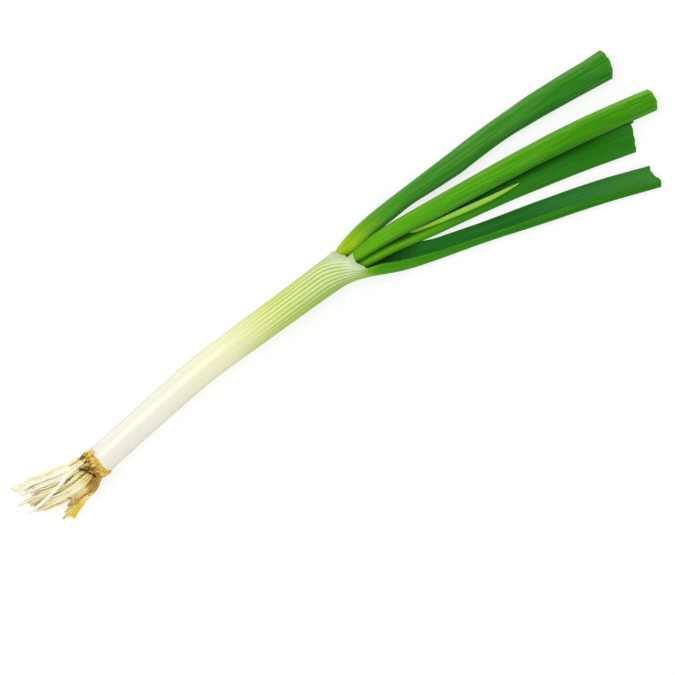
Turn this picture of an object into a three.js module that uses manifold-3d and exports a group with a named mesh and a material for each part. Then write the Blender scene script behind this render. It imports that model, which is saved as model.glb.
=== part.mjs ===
// A spring onion as pulled and trimmed, lying on a surface: roots to -X, cut leaf ends to +X.
//
// Millimetres, +Z up. The origin is under the middle of the whole onion, on the surface that it lies on.
// Every leaf is one piece from its sheath to its cut end. The outermost one wraps the white shank, opens at
// a slanting collar and goes on as a blade; the other leaves stand in its mouth. The roots grow out of the
// basal plate, a short disc of woody stem at the foot of the shank.

import * as THREE from "three";
import { mergeVertices } from "three/addons/utils/BufferGeometryUtils.js";
import Module from "manifold-3d";

const wasm = await Module();
wasm.setup();

// ---------------------------------------------------------------- driving sizes

const GAP = 0.35; // clearance between neighbouring pieces
const SHANK_SIDES = 20;
const LEAF_SIDES = 14;
const ROOT_SIDES = 6;

const SHANK_HALF_HEIGHT = 7.1;
const SHANK_AXIS_Z = SHANK_HALF_HEIGHT * Math.cos(Math.PI / SHANK_SIDES); // rests on a flat of its section
const SHEATH_WALL = 0.9;
const MOUTH_FLOOR_X = -9; // how deep the inner leaves stand in the sheath
const RIM_TOP = [10.5, 18.2]; // the two ends of the collar's slanting rim, seen from above
const RIM_FOOT = [21.5, 3.2];
const LEAF_WALL = 0.8;

// The white shank, which the outermost leaf's sheath wraps: centre x, y, then half the width there.
const SHANK = [
  [-131, -9.1, 7.1],
  [-110, -5.0, 7.0],
  [-90, -1.2, 7.1],
  [-70, 2.4, 7.25],
  [-50, 4.5, 7.35],
  [-25, 6.75, 7.45],
  [0, 9.1, 7.75],
  [12, 10.0, 8.4],
  [26, 10.6, 9.0],
];
// Each leaf is a list of stations: centre x, y, z, then half the width and half the height there.
const OUTER_BLADE = [
  [11, 2.6, 7.0, 1.1, 3.4],
  [17, 1.5, 6.9, 1.5, 4.4],
  [24, -0.1, 6.5, 2.3, 4.3],
  [32, -2.0, 5.8, 3.6, 3.7],
  [42, -3.6, 4.8, 4.7, 3.2],
  [54, -5.8, 3.7, 5.0, 2.8],
  [75, -10.1, 2.75, 4.8, 2.6],
  [100, -15.3, 2.6, 5.5, 2.5],
  [130, -21.7, 2.6, 5.7, 2.5],
  [154.8, -28.4, 2.6, 5.6, 2.5],
];
const UPPER_LEAF = [
  [-8, 13.0, 7.2, 1.4, 2.8],
  [2, 13.8, 7.3, 1.7, 3.2],
  [7, 14.3, 7.2, 1.7, 3.1],
  [11, 14.9, 7.1, 1.6, 3.0],
  [15, 16.4, 7.1, 2.8, 3.4],
  [22, 18.2, 7.1, 3.4, 3.9],
  [32, 20.5, 6.7, 3.4, 3.8],
  [42, 21.5, 6.1, 3.8, 3.7],
  [60, 22.75, 4.8, 4.7, 3.6],
  [80, 24.2, 3.8, 5.5, 3.5],
  [100, 26.6, 3.6, 5.4, 3.5],
  [130, 27.7, 3.6, 6.4, 3.5],
  [164.4, 26.9, 3.6, 7.0, 3.5],
];
const CENTRE_LEAF = [
  [-8, 9.0, 8.6, 1.9, 2.8],
  [2, 9.7, 8.7, 2.0, 3.1],
  [14, 10.3, 8.9, 2.3, 3.5],
  [22, 11.0, 8.9, 3.1, 3.7],
  [30, 11.7, 8.8, 3.7, 3.8],
  [42, 11.7, 8.4, 4.1, 3.9],
  [60, 10.9, 7.5, 4.6, 3.9],
  [80, 10.2, 6.6, 4.8, 3.9],
  [110, 8.9, 5.3, 5.3, 3.9],
  [140, 6.5, 4.4, 5.6, 3.9],
  [172.6, 2.4, 4.0, 5.5, 3.9],
];
const BACK_LEAF = [
  [-8, 4.9, 7.4, 1.6, 2.6],
  [2, 5.2, 7.4, 1.7, 2.9],
  [14, 5.8, 7.3, 1.8, 3.1],
  [24, 5.5, 7.0, 2.1, 3.0],
  [34, 5.2, 5.9, 2.2, 2.6],
  [44, 4.1, 4.5, 2.3, 2.2],
  [54, 3.1, 3.3, 2.8, 1.9],
  [66, 2.6, 2.8, 3.6, 1.8],
  [82, 1.9, 2.3, 4.6, 1.8],
  [100, 0.3, 1.9, 5.4, 1.8],
  [130, -3.7, 1.9, 6.3, 1.8],
  [156.5, -8.6, 1.9, 6.4, 1.8],
];
const YOUNG_LEAF = [
  [-8, 8.6, 3.5, 1.1, 1.2],
  [14, 8.6, 3.6, 1.2, 1.2],
  [34, 8.5, 3.6, 1.0, 0.9],
  [42, 7.9, 4.6, 0.9, 0.8],
  [49, 6.6, 5.8, 0.85, 0.7],
  [56, 5.4, 6.2, 1.1, 0.8],
  [66, 4.1, 6.1, 1.4, 0.8],
  [76, 2.8, 5.6, 1.5, 0.8],
  [88, 1.5, 5.1, 1.2, 0.7],
  [96, 1.1, 4.8, 0.8, 0.5],
  [100.3, 0.9, 4.7, 0.15, 0.15],
];

const PLATE_LENGTH = 5.4;
const PLATE_HALF_HEIGHT = 6.9;
const PLATE_FLARE = 1.08; // half width at the root face, as a share of the shank's
const ROOT_FACE_REACH = 6.9; // how far from the middle of the root face the roots stand
const ROOT_RADIUS = 0.62;
const ROOT_TIP_SHARE = 0.55; // tip radius, as a share of the root's
const ROOT_LAYERS = 6;
const ROOT_PITCH = 1.82; // between layers
const ROOT_SPACING = 1.85; // between neighbours in a layer, every other layer shifted by half of it
const ROOT_FAN = 0.42; // how far an outermost root leans outwards as it starts
const ROOT_START = 4.2; // length of that start
const ROOT_DROOP = 0.84; // height of a tip, as a share of its start's
const ROOT_UNEVEN = 5; // how much shorter the shortest root of a tuft is

// The brush is whole as far as its waist, whose outermost roots pass these two points, and then parts into
// tufts. Each tuft takes the roots of a share of the root face, counted from its +Y side, and has its tips
// along the line between two points.
const BRUSH_WAIST = { from: [-149.5, -1.5], to: [-147.5, -21.6] };
const TUFTS = [
  { until: 0.4, from: [-174.2, 1.4], to: [-165.5, -6.0] },
  { until: 0.54, from: [-173.5, -7.5], to: [-171.5, -9.3] },
  { until: 0.78, from: [-171, -12.4], to: [-166.5, -15.2] },
  { until: 1, from: [-155.5, -17.8], to: [-160.5, -24.2] },
];
// Two roots of their own, as centre x, y, z and radius: one across the brush, one stout along its -Y edge.
const CROSSING_ROOT = [
  [-139.4, -6.4, 13.2, 0.55],
  [-146, -7.3, 13.5, 0.65],
  [-153, -10.0, 13.2, 0.65],
  [-162, -12.1, 12.8, 0.62],
  [-170.6, -13.2, 12.2, 0.4],
];
const STOUT_ROOT = [
  [-137.1, -17.4, 2.7, 0.6],
  [-141, -19.8, 2.4, 0.85],
  [-147, -21.1, 2.2, 1.05],
  [-155.2, -24.3, 1.5, 1.2],
];

// ---------------------------------------------------------------- shaping

/** A smooth run of stations: at(t) gives the centre and the two half sizes, with t from 0 to 1. */
function growth(stations) {
  const centre = new THREE.CatmullRomCurve3(stations.map(([x, y, z]) => new THREE.Vector3(x, y, z)));
  const size = new THREE.CatmullRomCurve3(stations.map(([, , , w, h]) => new THREE.Vector3(w, h ?? w, 0)));
  return {
    at(t) {
      const forward = centre.getTangent(t);
      const across = new THREE.Vector3(0, 0, 1).cross(forward).normalize();
      const up = forward.clone().cross(across);
      const { x: width, y: height } = size.getPoint(t);
      return { middle: centre.getPoint(t), across, up, width, height };
    },
    /** The t at which the centre line passes x. */
    whereX(x) {
      let low = 0;
      let high = 1;
      for (let step = 0; step < 30; step++) {
        const middle = (low + high) / 2;
        const before = (centre.getPoint(middle).x < x) === (centre.getPoint(1).x > centre.getPoint(0).x);
        if (before) low = middle;
        else high = middle;
      }
      return (low + high) / 2;
    },
  };
}

/**
 * A closed tube along a growth from t0 to t1: a capped cylinder whose rings are moved onto it.
 * `thinner` is taken off both half sizes, and ring(across, up) can reshape the unit section.
 */
function tube(line, { sides, steps, t0 = 0, t1 = 1, thinner = 0, ring = (a, b) => [a, b] }) {
  const shape = new THREE.CylinderGeometry(1, 1, 1, sides, steps, false, Math.PI / sides);
  const at = shape.getAttribute("position");
  for (let i = 0; i < at.count; i++) {
    const t = THREE.MathUtils.lerp(t0, t1, at.getY(i) + 0.5);
    const { middle, across, up, width, height } = line.at(t);
    const [a, b] = ring(at.getZ(i), at.getX(i));
    middle.addScaledVector(across, a * (width - thinner)).addScaledVector(up, b * (height - thinner));
    at.setXYZ(i, middle.x, middle.y, middle.z);
  }
  return shape;
}

/** A geometry as a manifold-3d solid. */
function solid(geometry) {
  const plain = geometry.clone();
  plain.deleteAttribute("normal");
  plain.deleteAttribute("uv");
  const merged = mergeVertices(plain, 1e-4);
  return new wasm.Manifold(
    new wasm.Mesh({
      numProp: 3,
      vertProperties: merged.attributes.position.array,
      triVerts: new Uint32Array(merged.index.array),
    }),
  );
}

/** A manifold-3d solid back as a geometry. */
function geometryOf(made) {
  const mesh = made.getMesh();
  const geometry = new THREE.BufferGeometry();
  geometry.setAttribute("position", new THREE.BufferAttribute(mesh.vertProperties, 3));
  geometry.setIndex(new THREE.BufferAttribute(mesh.triVerts, 1));
  geometry.computeVertexNormals();
  return geometry;
}

/** A leaf blade as a hollow tube, closed at its foot and open at its cut end. */
function hollowBlade(stations, hollowFromX, steps, ring) {
  const line = growth(stations);
  const outside = tube(line, { sides: LEAF_SIDES, steps, ring });
  const past = [...stations];
  const end = stations.at(-1);
  const beforeEnd = stations.at(-2);
  past.push(end.map((value, i) => value + (i < 3 ? (value - beforeEnd[i]) * 0.1 : 0)));
  const inner = growth(past);
  const inside = tube(inner, {
    sides: LEAF_SIDES,
    steps: steps - 4,
    t0: inner.whereX(hollowFromX),
    thinner: LEAF_WALL,
    ring,
  });
  return solid(outside).subtract(solid(inside));
}

/** The collapsed section of the outer blade: a groove along its top, off towards +Y. */
function groovedRing(a, b) {
  const groove = 0.55 * Math.exp(-(((a - 0.15) / 0.4) ** 2));
  return [a, b > 0 ? b * (1 - groove) : b];
}

// ---------------------------------------------------------------- the pieces

const shank = growth(SHANK.map(([x, y, width]) => [x, y, SHANK_AXIS_Z, width, SHANK_HALF_HEIGHT]));

/** The outermost leaf: the sheath round the shank, its mouth, and its blade. */
function outerLeaf() {
  const outside = tube(shank, { sides: SHANK_SIDES, steps: 18 });
  const mouth = tube(shank, {
    sides: SHANK_SIDES,
    steps: 5,
    t0: shank.whereX(MOUTH_FLOOR_X),
    thinner: SHEATH_WALL,
  });
  const rim = new THREE.Vector2(RIM_FOOT[0] - RIM_TOP[0], RIM_FOOT[1] - RIM_TOP[1]);
  const side = 60;
  const beyondRim = new THREE.BoxGeometry(side, side, side)
    .translate(side / 2, 0, 0)
    .rotateZ(rim.angle() + Math.PI / 2)
    .translate(...RIM_TOP, 0);
  const bladeFoot = tube(growth(OUTER_BLADE), { sides: LEAF_SIDES, steps: 20, ring: groovedRing });
  const cavity = solid(mouth).subtract(solid(bladeFoot));
  const sheath = solid(outside).subtract(solid(beyondRim));
  return geometryOf(sheath.add(hollowBlade(OUTER_BLADE, 34, 20, groovedRing)).subtract(cavity));
}

/** A point behind the foot of the shank: `behind` along its axis, `a` across it and `b` up. */
function behindFoot(behind, a = 0, b = 0) {
  const { middle, across, up } = shank.at(0);
  const forward = across.clone().cross(up);
  return middle.clone().addScaledVector(forward, -behind).addScaledVector(across, a).addScaledVector(up, b);
}

function basalPlate() {
  const { width } = shank.at(0);
  const stations = [0, 0.5, 1].map((share) => [
    ...behindFoot(GAP + share * PLATE_LENGTH).toArray(),
    width * THREE.MathUtils.lerp(1, PLATE_FLARE, share),
    PLATE_HALF_HEIGHT,
  ]);
  return tube(growth(stations), { sides: SHANK_SIDES, steps: 3 });
}

/** The point at a share of the line between two plan points, at height z. */
function between({ from, to }, share, z) {
  return new THREE.Vector3(...from, z).lerp(new THREE.Vector3(...to, z), share);
}

/** The tip of the root that starts at a share of the root face. */
function tipOf(share, z) {
  const i = TUFTS.findIndex(({ until }) => share <= until);
  const first = i === 0 ? 0 : TUFTS[i - 1].until;
  return between(TUFTS[i], (share - first) / (TUFTS[i].until - first), z);
}

/** The stations of a root that starts at (a, b) on the root face. */
function rootStations(a, b, unevenness) {
  const behind = PLATE_LENGTH + 2.5 * GAP;
  const lean = (ROOT_FAN * a) / ROOT_FACE_REACH;
  const start = behindFoot(behind, a, b);
  const fanned = behindFoot(behind + ROOT_START, a + lean * ROOT_START, b);
  const share = THREE.MathUtils.clamp(0.5 - a / (2 * ROOT_FACE_REACH), 0, 1);
  const waist = between(BRUSH_WAIST, share, THREE.MathUtils.lerp(start.z, start.z * ROOT_DROOP, 0.4));
  const tip = tipOf(share, start.z * ROOT_DROOP);
  tip.x += ROOT_UNEVEN * unevenness;
  return [
    [...start.toArray(), ROOT_RADIUS],
    [...fanned.toArray(), ROOT_RADIUS],
    [...waist.toArray(), ROOT_RADIUS],
    [...tip.toArray(), ROOT_RADIUS * ROOT_TIP_SHARE],
  ];
}

/** Every root, layer by layer up the root face, each layer spread from +Y to -Y. */
function roots() {
  const made = [];
  for (let layer = 0; layer < ROOT_LAYERS; layer++) {
    const b = (layer - (ROOT_LAYERS - 1) / 2) * ROOT_PITCH;
    const half = Math.sqrt(ROOT_FACE_REACH ** 2 - b ** 2);
    const shift = layer % 2 === 0 ? 0 : ROOT_SPACING / 2;
    const first = Math.floor((half - shift) / ROOT_SPACING) * ROOT_SPACING + shift;
    for (let a = first; a >= -half; a -= ROOT_SPACING) {
      made.push(rootStations(a, b, 0.5 + 0.5 * Math.sin(2.4 * layer + 1.9 * a + 3.4)));
    }
  }
  return [...made, CROSSING_ROOT, STOUT_ROOT];
}

// ---------------------------------------------------------------- the onion

const skin = {
  sheath: { color: 0xe6ebcb, roughness: 0.35 },
  leaf: { color: 0x2f7d1a, roughness: 0.45 },
  centreLeaf: { color: 0x429b06, roughness: 0.42 },
  young: { color: 0x8cc63a, roughness: 0.45 },
  plate: { color: 0xb08a3c, roughness: 0.85 },
  root: { color: 0xe4dcbc, roughness: 0.7 },
};

const onion = new THREE.Group();

function addPiece(name, geometry, finish) {
  const piece = new THREE.Mesh(geometry, new THREE.MeshStandardMaterial({ metalness: 0, ...finish }));
  piece.name = name;
  onion.add(piece);
}

addPiece("outer_leaf", outerLeaf(), skin.sheath);
addPiece("upper_leaf", geometryOf(hollowBlade(UPPER_LEAF, 34, 20)), skin.leaf);
addPiece("centre_leaf", geometryOf(hollowBlade(CENTRE_LEAF, 34, 20)), skin.centreLeaf);
addPiece("back_leaf", geometryOf(hollowBlade(BACK_LEAF, 50, 20)), skin.leaf);
addPiece("young_leaf", tube(growth(YOUNG_LEAF), { sides: 8, steps: 18 }), skin.young);
addPiece("basal_plate", basalPlate(), skin.plate);
roots().forEach((stations, i) => {
  const name = `root_${String(i + 1).padStart(2, "0")}`;
  addPiece(name, tube(growth(stations), { sides: ROOT_SIDES, steps: 8 }), skin.root);
});

const box = new THREE.Box3().setFromObject(onion);
const middle = box.getCenter(new THREE.Vector3());
onion.position.set(-middle.x, -middle.y, -box.min.z);

export default onion;
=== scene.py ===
"""The looks of a spring onion lying on a pale surface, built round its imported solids.

Metres, in the row frame: +X from the roots to the cut leaf ends, +Y towards the upper leaf, +Z up.
Every leaf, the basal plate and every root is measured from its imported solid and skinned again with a
finer surface.
"""

import math

import bmesh
import bpy
import numpy as np
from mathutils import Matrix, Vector


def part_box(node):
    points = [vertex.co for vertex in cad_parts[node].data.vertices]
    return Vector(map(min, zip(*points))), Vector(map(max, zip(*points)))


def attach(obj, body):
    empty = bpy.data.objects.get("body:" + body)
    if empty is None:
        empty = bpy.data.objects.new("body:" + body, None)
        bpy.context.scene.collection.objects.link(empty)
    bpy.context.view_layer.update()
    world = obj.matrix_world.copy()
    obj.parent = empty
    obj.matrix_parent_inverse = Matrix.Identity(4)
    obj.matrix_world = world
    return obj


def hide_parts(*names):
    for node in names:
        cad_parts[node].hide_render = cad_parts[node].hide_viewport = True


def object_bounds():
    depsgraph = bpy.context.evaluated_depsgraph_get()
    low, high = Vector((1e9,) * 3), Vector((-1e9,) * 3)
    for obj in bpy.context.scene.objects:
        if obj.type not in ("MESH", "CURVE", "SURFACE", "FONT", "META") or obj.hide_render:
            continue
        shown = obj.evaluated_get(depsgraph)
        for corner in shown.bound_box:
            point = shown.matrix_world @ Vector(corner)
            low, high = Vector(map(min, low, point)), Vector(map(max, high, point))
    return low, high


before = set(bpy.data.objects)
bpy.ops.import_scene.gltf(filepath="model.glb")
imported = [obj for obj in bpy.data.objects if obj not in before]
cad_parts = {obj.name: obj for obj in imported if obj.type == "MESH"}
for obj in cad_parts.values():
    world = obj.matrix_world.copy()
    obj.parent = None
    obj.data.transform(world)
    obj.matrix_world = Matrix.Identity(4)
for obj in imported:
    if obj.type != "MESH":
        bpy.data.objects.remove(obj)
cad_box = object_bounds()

MM = 0.001
LENGTH = cad_box[1][0] - cad_box[0][0]
GRAIN = "grain"  # the map that runs round a piece (in turns) and along it (in metres)
MARK = "mark"  # what sets a point apart: the inner side of a leaf, the blade's ridge where a highlight is painted, or the tone of a root
LEAST_GAP = 0.0001  # how far what lies on the surface stays above it

SHANK_AXIS_Z = 0.00701
SHANK_HALF_HEIGHT = 0.0071
SHANK_FOOT_X = -0.1311
SHANK_FOOT_SLANT = 0.0013  # the foot leans like the rim
RIM_MIDDLE_X = 0.0160  # the collar's rim, which leans: furthest on the -Y side
RIM_SLANT = 0.0055
MOUTH_FLOOR_X = -0.007  # how deep the sheath is open
BLADE_FOOT_ARC = (127, 262)  # degrees round the sheath, from +Y over the top, that grow on as the blade
VEINS_ROUND_SHANK = 24.5
LEAF_WALL = 0.0007

# The blade's section: x, then where its ridge is across it as a share from its -Y edge, and how high its
# ridge, its far edge and its trough are. Millimetres, but for the share.
BLADE_SECTIONS = [
    (22, 0.95, 12.3, 1.5, 1.2),
    (30, 0.55, 10.0, 2.2, 1.6),
    (40, 0.36, 7.8, 2.8, 2.1),
    (50, 0.33, 6.4, 3.2, 2.4),
    (60, 0.31, 5.8, 3.6, 2.7),
    (80, 0.29, 5.4, 3.9, 2.8),
    (100, 0.30, 5.3, 4.0, 2.8),
    (140, 0.27, 5.2, 3.8, 2.7),
    (155, 0.25, 5.0, 3.6, 2.6),
]
# How far the blade's end falls short of its furthest point, in millimetres, at shares of its width.
BLADE_CUT = [(0, 0.4), (0.1, -0.2), (0.25, -0.75), (0.37, -0.6), (0.6, 0.5), (0.8, 0.7), (1, -0.35)]

# Colours as they look on a screen, out of 255, at x in millimetres.
SHANK_GROUND = [
    (-131, (243, 241, 229)),
    (-100, (243, 242, 224)),
    (-80, (243, 242, 212)),
    (-60, (243, 242, 198)),
    (-45, (234, 238, 182)),
    (-30, (228, 236, 176)),
    (-10, (220, 232, 178)),
    (14, (220, 233, 194)),
]
SHANK_VEINS = [(-45, (216, 226, 50)), (-30, (194, 214, 0)), (-10, (174, 204, 0)), (20, (150, 194, 0))]
BLADE_OUTSIDE = [
    (12, (186, 208, 30)),
    (17, (134, 190, 4)),
    (25, (72, 152, 2)),
    (60, (48, 134, 0)),
    (125, (32, 114, 0)),
    (156, (40, 122, 10)),
]
# The bluish green inside the blade's trough, darkened by painted shade of the trough, most at 26 mm
# where the leaves lie over it.
BLADE_TROUGH = [
    (16, (90, 150, 30)),
    (26, (24, 90, 12)),
    (45, (36, 118, 30)),
    (90, (30, 108, 28)),
    (120, (48, 128, 46)),
    (156, (64, 142, 46)),
]
# The same, from the palest root to the dirtiest one, and from the plate's pits to its dry fibres.
ROOT_COLOURS = [
    (0, (253, 251, 234)),
    (0.3, (251, 244, 208)),
    (0.62, (246, 226, 150)),
    (0.95, (208, 166, 68)),
    (1.3, (124, 92, 32)),
]
PLATE_COLOURS = [
    (0.3, (64, 42, 10)),
    (0.45, (142, 104, 28)),
    (0.58, (212, 168, 54)),
    (0.76, (236, 200, 96)),
    (0.95, (246, 228, 160)),
]
PIT_COLOUR = (50, 32, 8)
PIT_RIM_COLOUR = (150, 110, 38)

# Dark pits and threads on top of the root brush: from, to and reach, in millimetres, and how dark. The
# pits' dark is painted shade of hollows that the surface doesn't have.
PITS = [
    ((-140.2, -8.2), (-138.2, -9.6), 0.8, 0.9),
    ((-137.2, -12.2), (-136.0, -14.4), 0.7, 0.9),
    ((-143.8, -4.6), (-138.5, -4.2), 0.3, 0.35),
    ((-149.8, -10.2), (-144.8, -9.2), 0.26, 1.0),
    ((-151.8, -17.0), (-150.9, -17.6), 0.5, 1.0),
]

# The basal plate's disc. Its rings are a share of its length behind the foot and a share of its radius.
PLATE_RADIUS = 0.0064
PLATE_LEAN = 0.18
PLATE_RINGS = [
    (0.1, 0.94), (-0.2, 1.025), (-0.22, 1.04), (-0.1, 1.04), (0.0, 1.035), (0.08, 1.03),
    (0.16, 1.03), (0.24, 1.01), (0.32, 0.99), (0.4, 0.95), (0.48, 0.91), (0.56, 0.87),
    (0.64, 0.83), (0.72, 0.8), (0.82, 0.76), (0.92, 0.7), (1.0, 0.6),
]
ROOTLETS = 760
DRY_STRIPS = 210

# ---------------------------------------------------------------- measuring the solids


def section(node, x):
    """The lowest and highest y and z of a node where a plane of constant x cuts it."""
    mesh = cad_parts[node].data
    points = np.array([v.co for v in mesh.vertices])
    ends = points[np.array([e.vertices for e in mesh.edges])]
    before, after = ends[:, 0, 0] - x, ends[:, 1, 0] - x
    crossing = before * after < 0
    share = (before / (before - after))[crossing, None]
    cut = ends[crossing, 0] * (1 - share) + ends[crossing, 1] * share
    return [cut[:, 1].min(), cut[:, 1].max(), cut[:, 2].min(), cut[:, 2].max()]


def curve_through(places, values):
    """A smooth curve through values at rising places, straight on past both ends."""
    places = np.asarray(places, float)
    values = np.asarray(values, float)
    slopes = np.gradient(values, places, axis=0)

    def at(x):
        x = np.asarray(x, float)
        i = np.clip(np.searchsorted(places, x) - 1, 0, len(places) - 2)
        gap = places[i + 1] - places[i]
        t = (x - places[i]) / gap
        inside = np.clip(t, 0, 1)
        beyond = (t - inside) * gap
        t, gap, beyond = (v[..., None] if values.ndim > 1 else v for v in (inside, gap, beyond))
        a, b = values[i], values[i + 1]
        rise, fall = slopes[i] * gap, slopes[i + 1] * gap
        third, second = 2 * a - 2 * b + rise + fall, 3 * b - 3 * a - 2 * rise - fall
        cubic = third * t**3 + second * t**2 + rise * t + a
        return cubic + beyond * np.where(beyond > 0, slopes[-1], slopes[0])

    return at


def outline(node, first, last, count):
    """A node's outline from x first to x last, as a curve of low y, high y, low z and high z."""
    places = np.linspace(first, last, count)
    return curve_through(places, [section(node, x) for x in places])


def smoothstep(low, high, x):
    """0 below low and 1 above high, or the other way round, with a smooth rise between."""
    t = np.clip((np.asarray(x, float) - low) / (high - low), 0, 1)
    return t * t * (3 - 2 * t)


def waver(seed, x, waves=4):
    """A smooth uneven curve of about -1 to 1, the same for the same seed."""
    draw = np.random.default_rng(seed)
    total = 0
    for k in range(1, waves + 1):
        total = total + np.sin(k * x * draw.uniform(0.8, 1.2) + draw.uniform(0, 2 * math.pi)) / k
    return total / 1.6


# ---------------------------------------------------------------- skins


class Skin:
    """Gathers the points and faces of one piece, with the grain of each face's corners."""

    def __init__(self):
        self.points = []
        self.marks = []
        self.faces = []
        self.grain = []

    def add(self, rows, mark=0.0):
        """Adds rows of points and gives back their numbers in the same rows."""
        rows = np.asarray(rows, float)
        first = len(self.points)
        self.points.extend(rows.reshape(-1, 3))
        self.marks.extend(np.broadcast_to(mark, rows.shape[:-1]).ravel().tolist())
        return np.arange(first, len(self.points)).reshape(rows.shape[:-1])

    def grid(self, numbers, grain):
        """Faces between neighbouring rows and columns."""
        for i in range(len(numbers) - 1):
            for j in range(len(numbers[0]) - 1):
                corners = [(i, j), (i, j + 1), (i + 1, j + 1), (i + 1, j)]
                self.faces.append([int(numbers[c]) for c in corners])
                self.grain.append([tuple(grain[c]) for c in corners])

    def cap(self, loop, grain):
        """Closes a loop of points with a fan round their middle."""
        middle = int(self.add([np.mean([self.points[k] for k in loop], axis=0)], self.marks[loop[0]])[0])
        centre = np.mean(grain, axis=0)
        for j in range(len(loop)):
            k = (j + 1) % len(loop)
            self.faces.append([int(loop[j]), int(loop[k]), middle])
            self.grain.append([tuple(grain[j]), tuple(grain[k]), tuple(centre)])

    def tube(self, rows, along, mark=0.0):
        """Closed rings joined into a tube with both ends capped, at the given distances along."""
        numbers = self.add(rows, mark)
        grain = closed_grain(numbers.shape[1], along)
        self.grid(wrapped(numbers), grain)
        for end in (0, -1):
            self.cap(numbers[end], grain[end, :-1])

    def piece(self, name, finish, nodes=()):
        """The finished piece, which replaces the given nodes."""
        mesh = bpy.data.meshes.new(name)
        mesh.from_pydata([tuple(p) for p in self.points], [], self.faces)
        layer = mesh.uv_layers.new(name=GRAIN)
        layer.data.foreach_set("uv", np.array([uv for face in self.grain for uv in face]).ravel())
        mesh.attributes.new(MARK, "FLOAT", "POINT").data.foreach_set("value", self.marks)
        mesh.polygons.foreach_set("use_smooth", [True] * len(mesh.polygons))
        mesh.materials.append(finish)
        shape = bmesh.new()
        shape.from_mesh(mesh)
        bmesh.ops.recalc_face_normals(shape, faces=shape.faces)
        shape.to_mesh(mesh)
        shape.free()
        made = bpy.data.objects.new(name, mesh)
        bpy.context.scene.collection.objects.link(made)
        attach(made, "root")
        if nodes:
            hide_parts(*nodes)
        return made


def angles_round(columns):
    """The angles of evenly spaced columns, once round."""
    return 2 * math.pi * np.arange(columns) / columns


def wrapped(rows):
    """Rows of numbers or values with the first column repeated at the end."""
    return np.concatenate([rows, rows[:, :1]], axis=1)


def closed_grain(columns, along):
    """The grain of closed rings: whole turns round, and the given distances along."""
    return np.array([[(j / columns, v) for j in range(columns + 1)] for v in along])


# ---------------------------------------------------------------- finishes


def srgb(red, green, blue):
    """A colour given as it looks on a screen, out of 255, as the shader takes it."""
    shares = [c / 255 for c in (red, green, blue)]
    return (*[((c + 0.055) / 1.055) ** 2.4 if c > 0.04 else c / 12.92 for c in shares], 1)


class Value:
    """A socket of a finish, so that a formula on it adds its Math nodes."""

    def __init__(self, finish, socket):
        self.finish = finish
        self.socket = socket

    def math(self, operation, *others):
        inputs = dict(enumerate((self, *others)))
        return self.finish.node("ShaderNodeMath", {"operation": operation}, inputs)

    def __add__(self, other):
        return self.math("ADD", other)

    __radd__ = __add__

    def __mul__(self, other):
        return self.math("MULTIPLY", other)

    __rmul__ = __mul__

    def __sub__(self, other):
        return self.math("SUBTRACT", other)

    def __rsub__(self, other):
        return self.finish.node("ShaderNodeMath", {"operation": "SUBTRACT"}, {0: other, 1: self})

    def step(self, low, high):
        """0 below low and 1 above high, or the other way round, with a smooth rise between."""
        inputs = {"Value": self, "From Min": low, "From Max": high}
        return self.finish.node("ShaderNodeMapRange", {"interpolation_type": "SMOOTHSTEP"}, inputs)


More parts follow.
